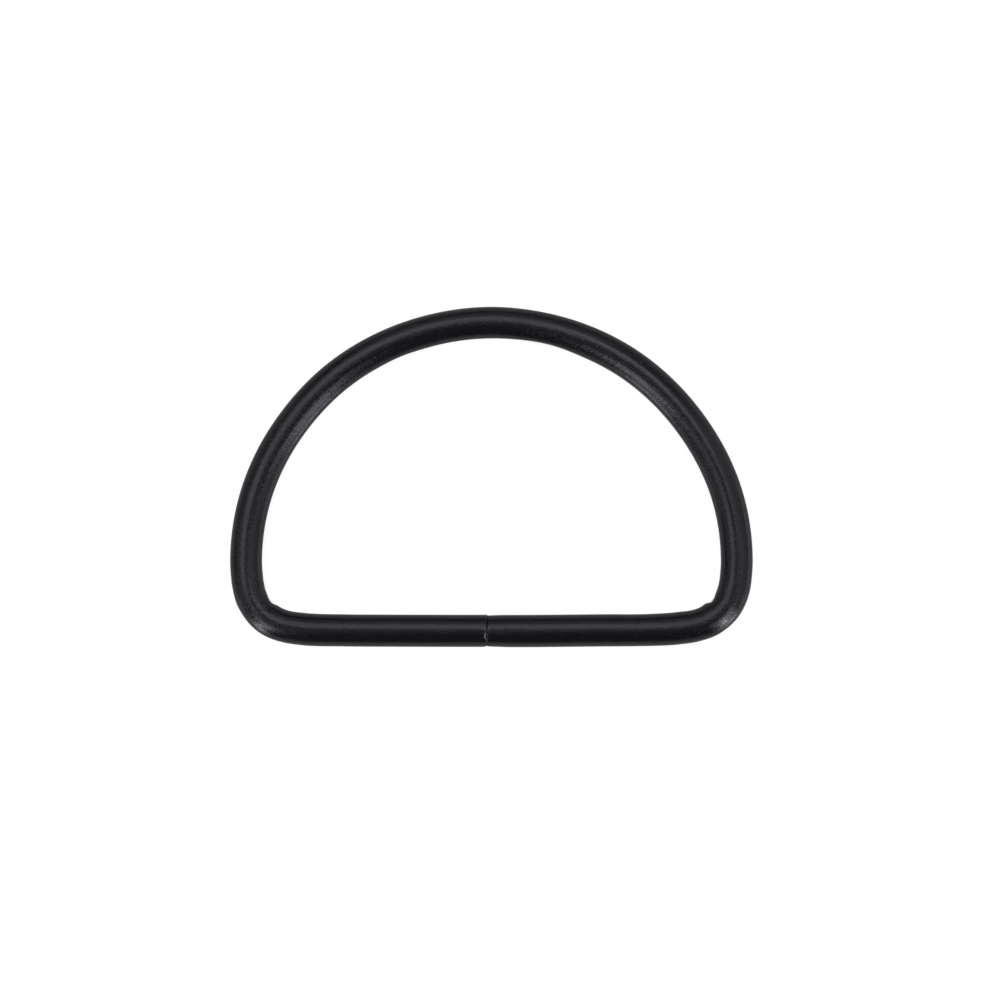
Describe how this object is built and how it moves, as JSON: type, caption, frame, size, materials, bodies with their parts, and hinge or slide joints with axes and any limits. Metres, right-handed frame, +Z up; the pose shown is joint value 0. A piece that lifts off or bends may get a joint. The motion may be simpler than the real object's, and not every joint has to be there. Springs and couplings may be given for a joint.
{
  "type": "d ring",
  "caption": "D-shaped strap ring bent from one round black-coated steel wire, with its butt seam left open in the straight bar.",
  "frame": {"origin": "middle of the ring's outer width and depth, on the surface it lies on", "axes": "+X along the straight bar, +Y from the bar towards the top of the bow, +Z up, square to the flat ring"},
  "size_m": [0.057, 0.0371, 0.0035],
  "materials": {
    "black_coated_wire": "satin black coating"
  },
  "bodies": {
    "root": {"wire_ring": "black_coated_wire"}
  },
  "joints": []
}
